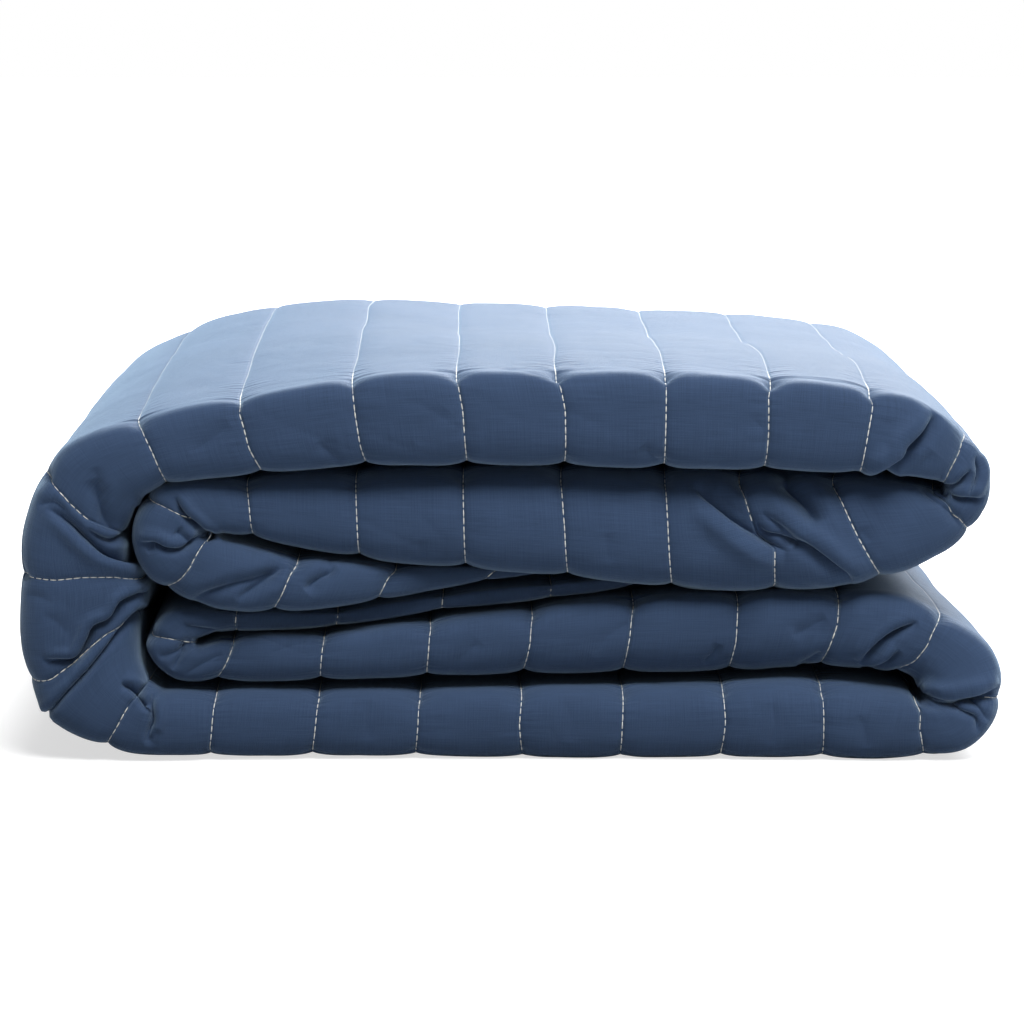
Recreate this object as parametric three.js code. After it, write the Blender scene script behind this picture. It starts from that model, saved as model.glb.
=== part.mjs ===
// A quilted bedspread, folded away. It is folded in four across its width, which makes a strip of four layers,
// and the strip is then laid back and forth, from side to side, in six runs joined by five bends.
// Millimetres, +Z up. The folded strip's front edge faces -Y, and the stack rests on its lowest run, at z = 0.
// The origin is at the middle of the stack's footprint.
import * as THREE from "three";

// ---- Driving dimensions -----------------------------------------------------------------------------------------
const ROW_PITCH = 53; // how far apart the rows of quilting are, along the strip
const FIRST_ROW = 44; // from the strip's hidden upper end to the first row of quilting
const STRIP_DEPTH = 540; // front edge to back edge of the folded strip, a quarter of the bedspread's width
const HUB_RADIUS = 1.5; // how tightly the inner side of a sharp bend turns
const GROOVE_SHARE = 0.06; // how far a row of quilting draws in each side of the strip, as a share of its thickness
const GROOVE_HALF = 11.5; // half the groove's width
const END_MARGIN = 8; // least length between a groove and an end of the strip
const LAYER_GAP = 0.03; // gap between two layers, as a share of the strip's thickness
const NOSE = 0.42; // depth of the rounded front edge, as a share of the strip's thickness
const FREE_EDGE_STEP = 9; // how far one free edge at the back stops short of the other
const CROWN = 8; // how far the top of the stack stands up between its front and back edges
const CROWN_FROM = 155; // height above which the cloth takes part in the crown
const STACK_HEIGHT = 194; // height of the stack at its front edge
const CURVE_STEPS = 900; // steps in which the strip's length is measured

// ---- The fold lines, seen from the front ------------------------------------------------------------------------
// Each fold is a run or a bend. The "face" side of the strip is the one outside the large bend on the left.
// A run's rows are [x, z of its underside, z of its top, set-back of its front edge].
// A sharp bend's rows are [x, z, set-back] on its rim, and its inner side turns about the hub.
// The large bend's rows are [x and z on the rim, x and z on the inner side, set-back].
const FOLDS = [
  { kind: "run", faceUp: true, rows: [[16, 88, 91.4, 40], [-14, 87, 94.4, 34], [-44, 84, 97, 26], [-80, 78, 99.5, 14], [-122, 75, 106, 8]] },
  { kind: "sharp bend", faceOnRim: false, hub: [-151, 115.5], rows: [[-156, 80, 8], [-181, 92, 9], [-190, 113.5, 10], [-179.5, 135, 10]] },
  { kind: "run", faceUp: false, rows: [[-138, 114, 143, 9], [-80, 102, 145, 7], [-20, 96.5, 146.5, 6], [30, 91, 146.5, 6], [78, 85.5, 145, 6], [134, 84, 143.5, 6], [180, 88.5, 141.5, 7]] },
  { kind: "sharp bend", faceOnRim: true, hub: [212, 140.5], rows: [[214, 102, 9], [231.5, 116.5, 10], [239.5, 138.5, 10], [232.5, 160, 8]] },
  { kind: "run", faceUp: true, rows: [[206, 143.5, 181, 4], [178, 145.5, 188.5, 1], [100, 148, 193, 0], [-25, 150, 194, 0], [-80, 149, 192.5, 0], [-132, 145, 184.5, 2]] },
  { kind: "wide bend", rows: [[-186.5, 172, -174, 139.5, 5], [-224, 152.5, -191, 129, 8], [-242.5, 118.5, -194.5, 110, 9], [-245.5, 83, -190, 86, 10], [-242, 51, -187, 66, 10], [-228, 24, -185.5, 50, 9], [-201, 5, -178, 36.5, 8]] },
  { kind: "run", faceUp: false, rows: [[-168, 0, 34.5, 7], [-130, 0, 35, 6], [57, 0, 36, 6], [150, 0, 39.5, 6], [190, 0, 36, 7]] },
  { kind: "sharp bend", faceOnRim: true, hub: [207, 33.5], rows: [[226, 8, 8], [245.5, 31, 10], [237.5, 58.5, 12]] },
  { kind: "run", faceUp: true, rows: [[205, 39, 80, 15], [176, 44, 84, 17], [110, 42.5, 82.5, 18], [60, 42, 80.5, 18], [10, 41.5, 75, 18], [-92, 39, 63.5, 18], [-140, 38, 61, 18]] },
  { kind: "sharp bend", faceOnRim: false, hub: [-158, 58.5], rows: [[-170, 42, 18], [-181.5, 58.5, 18], [-170, 74, 20]] },
  { kind: "run", faceUp: false, rows: [[-142, 63.5, 74, 24], [-90, 66, 74, 30], [-40, 72.5, 81.5, 34], [15, 78.5, 86.5, 38], [46, 82, 86.5, 44]] },
];

// ---- The strip's two sides --------------------------------------------------------------------------------------

// A point (x, set-back, z) on one side of the strip.
const onSide = (x, z, setBack) => new THREE.Vector3(x, setBack, z);

// The sections of a run: one point on the face side and one on the other side for each row.
function runSections({ rows, faceUp }) {
  return rows.map(([x, low, high, setBack]) => ({
    face: onSide(x, faceUp ? high : low, setBack),
    reverse: onSide(x, faceUp ? low : high, setBack),
  }));
}

// The sections of a sharp bend: its rim's points, and points close to the hub on the other side.
function sharpBendSections({ rows, hub: [hubX, hubZ], faceOnRim }) {
  return rows.map(([x, z, setBack]) => {
    const reach = Math.hypot(x - hubX, z - hubZ);
    const rim = onSide(x, z, setBack);
    const core = onSide(hubX + (HUB_RADIUS * (x - hubX)) / reach, hubZ + (HUB_RADIUS * (z - hubZ)) / reach, setBack);
    return faceOnRim ? { face: rim, reverse: core } : { face: core, reverse: rim };
  });
}

// The sections of the large bend, whose rim is the face side.
function wideBendSections({ rows }) {
  return rows.map(([rimX, rimZ, coreX, coreZ, setBack]) => ({
    face: onSide(rimX, rimZ, setBack),
    reverse: onSide(coreX, coreZ, setBack),
  }));
}

const SECTIONS_OF = { run: runSections, "sharp bend": sharpBendSections, "wide bend": wideBendSections };

// The two smooth lines along the strip's sides. The same share of the way along each names one section.
function stripSides() {
  const sections = FOLDS.flatMap((fold) => SECTIONS_OF[fold.kind](fold));
  const line = (side) => new THREE.CatmullRomCurve3(sections.map((section) => section[side]), false, "centripetal");
  return { face: line("face"), reverse: line("reverse") };
}

// The strip's length up to each of many even steps. Cloth doesn't stretch, so in a bend the outer side counts.
function lengthsAlong({ face, reverse }) {
  const lengths = [0];
  for (let step = 1; step <= CURVE_STEPS; step += 1) {
    const from = (step - 1) / CURVE_STEPS;
    const to = step / CURVE_STEPS;
    const onFace = face.getPoint(from).distanceTo(face.getPoint(to));
    const onReverse = reverse.getPoint(from).distanceTo(reverse.getPoint(to));
    lengths.push(lengths[step - 1] + Math.max(onFace, onReverse));
  }
  return lengths;
}

// The share of the way along the sides at which the strip reaches a length.
function shareAt(length, lengths) {
  const step = Math.min(CURVE_STEPS, Math.max(1, lengths.findIndex((reached) => reached >= length)));
  const within = (length - lengths[step - 1]) / (lengths[step] - lengths[step - 1]);
  return (step - 1 + within) / CURVE_STEPS;
}

// ---- The section of the folded strip ----------------------------------------------------------------------------
// Points are [how far behind the front edge, height from -0.5 to 0.5 of the strip's thickness], as one outline:
// round the outermost layer from its free edge to the fold at the back, then in and out between the layers.
function foldedSection(thickness, drawnIn) {
  const nose = NOSE * thickness;
  const out = 0.5 - drawnIn;
  const half = LAYER_GAP / 2;
  const upper = 0.25 + half; // the two sides of the gap between an outer layer and an inner one
  const lower = 0.25 - half;
  const inset = drawnIn * thickness;
  const backFold = STRIP_DEPTH - 0.1 * thickness;
  const innerNose = 0.28 * thickness;
  const turn = STRIP_DEPTH - 0.26 * thickness; // where the gap ends inside the fold at the back
  return [
    [STRIP_DEPTH, out],
    [0.78 * STRIP_DEPTH, out],
    [0.5 * STRIP_DEPTH, out],
    [0.22 * STRIP_DEPTH, out],
    [nose, out],
    [inset + 0.12 * nose, 0.8 * out],
    [inset, 0.3 * out],
    [inset, -0.3 * out],
    [inset + 0.12 * nose, -0.8 * out],
    [nose, -out],
    [backFold, -out],
    [STRIP_DEPTH, -0.72 * out],
    [STRIP_DEPTH, -0.12],
    [backFold, -half],
    [0.6 * thickness, -half],
    [0.55 * thickness, 0],
    [0.6 * thickness, half],
    [STRIP_DEPTH - FREE_EDGE_STEP, half],
    [STRIP_DEPTH - FREE_EDGE_STEP, lower],
    [nose, lower],
    [innerNose, 0.5 * lower],
    [innerNose, -0.5 * lower],
    [nose, -lower],
    [turn, -lower],
    [turn, -upper],
    [nose, -upper],
    [innerNose - LAYER_GAP * thickness, -0.5 * upper],
    [innerNose - LAYER_GAP * thickness, 0.5 * upper],
    [nose, upper],
    [STRIP_DEPTH, upper],
  ];
}

// ---- The solid --------------------------------------------------------------------------------------------------

// Where the strip is cut into sections: its two ends, and each row of quilting with a section on either side of it.
function stations(totalLength) {
  const list = [{ length: 0, drawnIn: 0 }];
  const lastRow = totalLength - GROOVE_HALF - END_MARGIN;
  for (let row = FIRST_ROW; row < lastRow; row += ROW_PITCH)
    list.push(
      { length: row - GROOVE_HALF, drawnIn: 0 },
      { length: row, drawnIn: GROOVE_SHARE },
      { length: row + GROOVE_HALF, drawnIn: 0 },
    );
  list.push({ length: totalLength, drawnIn: 0 });
  return list;
}

// How far the crown lifts a point of a given height, some way behind the front edge.
function crownLift(height, behind) {
  const share = THREE.MathUtils.clamp((height - CROWN_FROM) / (STACK_HEIGHT - CROWN_FROM), 0, 1);
  return CROWN * share * Math.sin((Math.PI * behind) / STRIP_DEPTH);
}

// The folded section between the strip's two sides at one station, as points of the stack.
function placedSection(sides, share, drawnIn) {
  const face = sides.face.getPoint(share);
  const reverse = sides.reverse.getPoint(share);
  face.z = Math.max(face.z, 0);
  reverse.z = Math.max(reverse.z, 0);
  const front = face.y;
  const thickness = Math.hypot(face.x - reverse.x, face.z - reverse.z);
  return foldedSection(thickness, drawnIn).map(([behind, height]) => {
    const across = height + 0.5;
    const z = THREE.MathUtils.lerp(reverse.z, face.z, across);
    return new THREE.Vector3(
      THREE.MathUtils.lerp(reverse.x, face.x, across),
      front + behind,
      z + crownLift(z, behind),
    );
  });
}

// The strip as one closed surface: each section joined to the next, and a cap on each end.
function loftedGeometry(sections) {
  const around = sections[0].length;
  const positions = sections.flat().flatMap((point) => point.toArray());
  const index = [];
  for (let row = 0; row + 1 < sections.length; row += 1)
    for (let k = 0; k < around; k += 1) {
      const a = row * around + k;
      const b = row * around + ((k + 1) % around);
      index.push(a, a + around, b, b, a + around, b + around);
    }
  const outline = foldedSection(40, 0).map(([behind, height]) => new THREE.Vector2(behind, 40 * height));
  const cap = THREE.ShapeUtils.triangulateShape(outline, []);
  const last = (sections.length - 1) * around;
  for (const [a, b, c] of cap) index.push(a, b, c, last + a, last + c, last + b);
  const geometry = new THREE.BufferGeometry();
  geometry.setAttribute("position", new THREE.Float32BufferAttribute(positions, 3));
  geometry.setIndex(index);
  geometry.computeBoundingBox();
  const centre = geometry.boundingBox.getCenter(new THREE.Vector3());
  geometry.translate(-centre.x, -centre.y, 0);
  geometry.computeVertexNormals();
  return geometry;
}

function bedspread() {
  const sides = stripSides();
  const lengths = lengthsAlong(sides);
  const place = ({ length, drawnIn }) => placedSection(sides, shareAt(length, lengths), drawnIn);
  const sections = stations(lengths[CURVE_STEPS]).map(place);
  const cotton = new THREE.MeshStandardMaterial({ color: 0x34455f, roughness: 0.75, metalness: 0 });
  const mesh = new THREE.Mesh(loftedGeometry(sections), cotton);
  mesh.name = "bedspread";
  return mesh;
}

const stack = new THREE.Group();
stack.add(bedspread());
export default stack;
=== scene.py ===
"""Looks of a folded quilted bedspread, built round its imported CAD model.

The cover is folded in four across its width, and the strip that this makes is laid back and forth in
a stack. It is one padded shell: a section of the four layers is carried along the strip's fold lines,
filled between the rows of quilting, creased where the real cloth creases, and sewn with a pale running
stitch. Lengths are in metres, and the fold, row and crease tables are in millimetres.
"""
import logging
import math
from dataclasses import dataclass, field
from enum import Enum

import bmesh
import bpy
import numpy as np
from mathutils import Matrix, Vector


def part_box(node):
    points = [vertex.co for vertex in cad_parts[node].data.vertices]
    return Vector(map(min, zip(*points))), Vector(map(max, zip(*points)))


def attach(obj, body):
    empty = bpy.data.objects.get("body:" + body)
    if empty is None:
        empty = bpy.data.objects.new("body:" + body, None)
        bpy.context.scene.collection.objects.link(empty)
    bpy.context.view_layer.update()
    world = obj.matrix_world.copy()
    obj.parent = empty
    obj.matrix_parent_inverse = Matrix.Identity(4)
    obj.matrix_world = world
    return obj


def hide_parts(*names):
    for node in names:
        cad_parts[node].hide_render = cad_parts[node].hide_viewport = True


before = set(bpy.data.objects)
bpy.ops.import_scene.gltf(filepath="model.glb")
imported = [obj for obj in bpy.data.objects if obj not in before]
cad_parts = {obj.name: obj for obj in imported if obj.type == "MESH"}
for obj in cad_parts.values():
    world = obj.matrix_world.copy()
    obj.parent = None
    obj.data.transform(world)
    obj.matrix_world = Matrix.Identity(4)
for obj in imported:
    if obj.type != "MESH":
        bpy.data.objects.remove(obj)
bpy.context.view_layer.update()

MM = 0.001
NODE = "bedspread"

log = logging.getLogger("bedspread")


class FoldKind(Enum):
    """How a stretch of the strip lies, and so how its table rows are read."""

    RUN_FACE_UP = "run with its face side up"
    RUN_FACE_DOWN = "run with its face side down"
    BEND_FACE_OUT = "sharp bend with its face side on the rim"
    BEND_FACE_IN = "sharp bend with its face side at the hub"
    WIDE_BEND = "wide bend with its face side on the rim"


@dataclass(frozen=True)
class Fold:
    """One run or bend of the strip, seen from the front.

    A run's rows are (x, z of its underside, z of its top, set-back). A sharp bend's are (x, z, set-back)
    on the rim, and the wide bend's (x, z on the rim, x, z on the inner side, set-back). face_square and
    back_square say how square the front edge is towards each side: 2 is round and 4 nearly square. nose
    is how far back the front edge is rounded, as a share of the strip's thickness.
    """

    name: str
    kind: FoldKind
    rows: tuple[tuple[float, ...], ...]
    hub: tuple[float, float] = (0.0, 0.0)
    face_square: float = 2.4
    back_square: float = 2.4
    nose: float = 0.42

    def sections(self) -> list[tuple[float, ...]]:
        """Give each row as one section of the strip.

        Returns:
            A list of (face x, face z, back x, back z, set-back, face_square, back_square, nose).
        """
        made = []
        for row in self.rows:
            if self.kind in (FoldKind.RUN_FACE_UP, FoldKind.RUN_FACE_DOWN):
                x, low, high, back = row
                ends = (x, high, x, low) if self.kind is FoldKind.RUN_FACE_UP else (x, low, x, high)
            elif self.kind is FoldKind.WIDE_BEND:
                *ends, back = row
            else:
                x, z, back = row
                reach = math.hypot(x - self.hub[0], z - self.hub[1])
                core = tuple(h + HUB_RADIUS * (p - h) / reach for h, p in zip(self.hub, (x, z)))
                ends = (x, z, *core) if self.kind is FoldKind.BEND_FACE_OUT else (*core, x, z)
            made.append((*ends, back, self.face_square, self.back_square, self.nose))
        return made


# How far a sharp bend's inner side stays from its hub, in millimetres.
HUB_RADIUS = 1.5

# The strip's runs and bends in order, from its hidden upper end to its hidden lower end.
FOLDS = (
    Fold("upper tuck", FoldKind.RUN_FACE_UP,
         ((16, 91.6, 94.2, 40), (-14, 88.4, 95.6, 34), (-44, 84, 97, 26), (-80, 78, 99.5, 14),
          (-122, 75, 106, 8))),
    Fold("upper left bend", FoldKind.BEND_FACE_IN,
         ((-156, 79, 8), (-183, 91, 9), (-192.5, 113.5, 10), (-183, 137.5, 10)), hub=(-151, 115.5)),
    Fold("second run", FoldKind.RUN_FACE_DOWN,
         ((-138, 114, 143, 12), (-80, 102, 145, 13), (-20, 96.5, 146.5, 12), (30, 91, 146.5, 12),
          (78, 85.5, 145, 12), (134, 84, 143.5, 12), (184, 89.8, 141.3, 11)),
         face_square=2.8, back_square=2.0),
    Fold("upper right bend", FoldKind.BEND_FACE_OUT,
         ((213, 102, 10), (231, 116, 10), (240.5, 138, 10), (234, 159.5, 8)), hub=(217, 140.2)),
    Fold("top run", FoldKind.RUN_FACE_UP,
         ((208, 143, 181, 4), (178, 145.5, 190, 1), (100, 148, 197, 0), (38, 149, 199, 0),
          (-25, 150, 198, 0), (-80, 149, 195, 0), (-132, 145, 186, 2)),
         face_square=4.0, back_square=2.6, nose=0.32),
    Fold("wide left bend", FoldKind.WIDE_BEND,
         ((-189, 174, -174, 139.5, 5), (-230, 155, -190, 129, 8), (-246.5, 120, -195, 108, 9),
          (-250, 82, -184, 86, 10), (-249, 51, -188, 66, 10), (-237, 21, -188, 50, 9),
          (-204, 4.5, -180, 36.5, 8)), face_square=3.0),
    Fold("bottom run", FoldKind.RUN_FACE_DOWN,
         ((-168, 1.6, 34.5, 9), (-130, 0.6, 35, 13), (57, 0, 36, 13), (150, 0, 39.5, 9), (190, 0, 36, 7)),
         face_square=2.8),
    Fold("lower right bend", FoldKind.BEND_FACE_OUT,
         ((231, 6, 8), (248.5, 29.5, 10), (241.5, 57, 12)), hub=(207, 33.5), face_square=3.2),
    Fold("third run", FoldKind.RUN_FACE_UP,
         ((205, 39, 80, 15), (176, 44, 84, 18), (110, 42.5, 82.5, 23), (60, 42, 80.5, 24),
          (10, 41.5, 75, 22), (-92, 39, 64, 18), (-140, 38, 62, 18)), face_square=2.8, back_square=2.0),
    Fold("lower left bend", FoldKind.BEND_FACE_IN,
         ((-173, 40.5, 18), (-187, 58, 18), (-174, 75.5, 20)), hub=(-158, 59)),
    Fold("lower tuck", FoldKind.RUN_FACE_DOWN,
         ((-142, 63, 75, 24), (-90, 66, 74, 30), (-40, 72.5, 81.5, 34), (15, 78.5, 87, 36),
          (48, 82.8, 88.4, 42), (64, 86, 89, 46))),
)


# How far each row of quilting lies from even spacing, in millimetres, counted from the upper tuck.
ROW_STRAY = (-15, -11, -9, -5, 1, 7, 7, 8, 7, 6, 6, 6, 8, 9, 14, 13, 14, 14, 12, 11, 14, 12, 20, 21, 24, 25,
             29, 28, 28, 26, 24, 22, 19, 21, 21, 20, 30, 32, 31, 30, 29, 26, 23, 30, 28, 27, 28, 31)

# Rows of quilting that cut deeper or less deep than most into the upper edge of the front, by row number.
DEEP_NOTCHES = {14: 1.2, 15: 1.7, 16: 1.8, 17: 1.7, 19: 0.7, 20: 0.5, 27: 1.4, 28: 1.5, 29: 1.2, 30: 1.4,
                31: 1.3, 32: 1.4}

# The rows of quilting that are stitched along the whole face side. The others lie inside the stack, and
# are stitched only near its front and its back.
ROWS_IN_VIEW = range(10, 37)

# How high the top of the stack is lifted, in millimetres, against the share of the way to its back.
CROWN_HUMPS = ((0, 0), (0.03, 0.2), (0.1, 2.2), (0.2, 4.8), (0.32, 6.8), (0.42, 7.4), (0.5, 6.8),
               (0.56, 6.7), (0.64, 7.4), (0.75, 8.4), (0.9, 6.0), (1, -2))

# How much the back of the top is lifted or lowered, against x, both in millimetres.
CROWN_LEAN = ((-170, 6), (-134, 5.5), (-82, -0.5), (-33, -6), (22, -9), (83, -10), (143, -10), (200, -9))


@dataclass(frozen=True)
class Crease:
    """A crease in the front edge: its line seen from the front (x, z), and its section, in millimetres.

    lip raises the cloth to the left of the line's direction, where it lies over the other side. reach is
    how far the crease runs back from the front edge. starts_deep and ends_deep say that it is at full
    depth there.
    """

    fold: str
    line: tuple[tuple[float, float], ...]
    depth: float
    width: float
    lip: float = 0.0
    reach: float = 30.0
    starts_deep: bool = False
    ends_deep: bool = False

    def measure(self, seen: np.ndarray) -> tuple[np.ndarray, np.ndarray, np.ndarray]:
        """Measure where points lie beside the crease, as seen from the front.

        Args:
            seen: the points' x and z, in metres.

        Returns:
            How far apart each is from the line in crease widths (positive on the left), its share of the
            way along the line, and the unit vector across the line towards the right.
        """
        line = np.array(self.line, float) * MM
        spans = np.concatenate(([0.0], np.cumsum(np.linalg.norm(np.diff(line, axis=0), axis=1))))
        line = through(line, spans, 6 * len(line))
        points = seen[:, None, :]
        start, way = line[None, :-1], np.diff(line, axis=0)[None]
        squared = (way ** 2).sum(-1)
        share = np.clip(((points - start) * way).sum(-1) / squared, 0, 1)
        offset = points - start - share[..., None] * way
        nearest = (offset ** 2).sum(-1).argmin(1)
        pick = np.arange(len(nearest)), nearest
        offset, way = offset[pick], way[0, nearest]
        side = np.stack((way[:, 1], -way[:, 0]), axis=1) / np.sqrt(squared[0, nearest])[:, None]
        apart = np.sqrt((offset ** 2).sum(-1)) * -np.sign((offset * side).sum(-1)) / (self.width * MM)
        return apart, (nearest + share[pick]) / (len(line) - 1), side

    def reached(self, places: np.ndarray, lengths: np.ndarray, behind: np.ndarray,
                span: tuple[float, float]) -> np.ndarray:
        """Find the points that the crease can move.

        Args:
            places: points of the cloth.
            lengths: each point's length along the strip.
            behind: each point's distance behind the front.
            span: the lengths between which the crease's fold lies.

        Returns:
            The indices of the points.
        """
        line = np.array(self.line, float) * MM
        pad = 5.5 * self.width * MM
        seen = places[:, 0::2]
        inside = ((seen > line.min(0) - pad) & (seen < line.max(0) + pad)).all(-1)
        inside &= (lengths > span[0] - 0.03) & (lengths < span[1] + 0.03) & (behind < 2 * self.reach * MM)
        return np.nonzero(inside)[0]

    def press(self, places: np.ndarray, normals: np.ndarray, behind: np.ndarray) -> np.ndarray:
        """Press the crease into some points of the cloth.

        Args:
            places: the points.
            normals: the outward direction at each.
            behind: distance behind the front at each.

        Returns:
            The movement of each point.
        """
        apart, along, side = self.measure(places[:, 0::2])
        taper = np.ones_like(along)
        if not self.ends_deep:
            taper = taper * np.clip((1 - along) / 0.35, 0, 1)
        if not self.starts_deep:
            taper = taper * np.clip(along / 0.3, 0, 1)
        taper = taper * (2 - taper) * np.exp(-(behind / (self.reach * MM)) ** 2)
        # A valley with a low shoulder on each side of it. With a lip, the near side is steep and leans over.
        lapped = min(self.lip / 1.5, 1.0)
        steep = np.where(apart > 0, 1 - 0.45 * lapped, 1 + 0.5 * lapped)
        valley = np.exp(-np.abs(apart / steep) ** 1.25)
        near_side = np.exp(-((apart - 2.0) / 1.3) ** 2)
        far_side = np.exp(-((apart + 2.8) / 1.4) ** 2)
        near_height = 0.13 * self.depth + self.lip
        out = -self.depth * valley + near_height * near_side + 0.1 * self.depth * far_side
        over = self.lip * np.exp(-((apart - 1.0) / 0.9) ** 2)
        shift = normals * (out * taper)[:, None]
        shift[:, 0::2] += side * (over * taper)[:, None]
        return shift * MM


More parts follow.
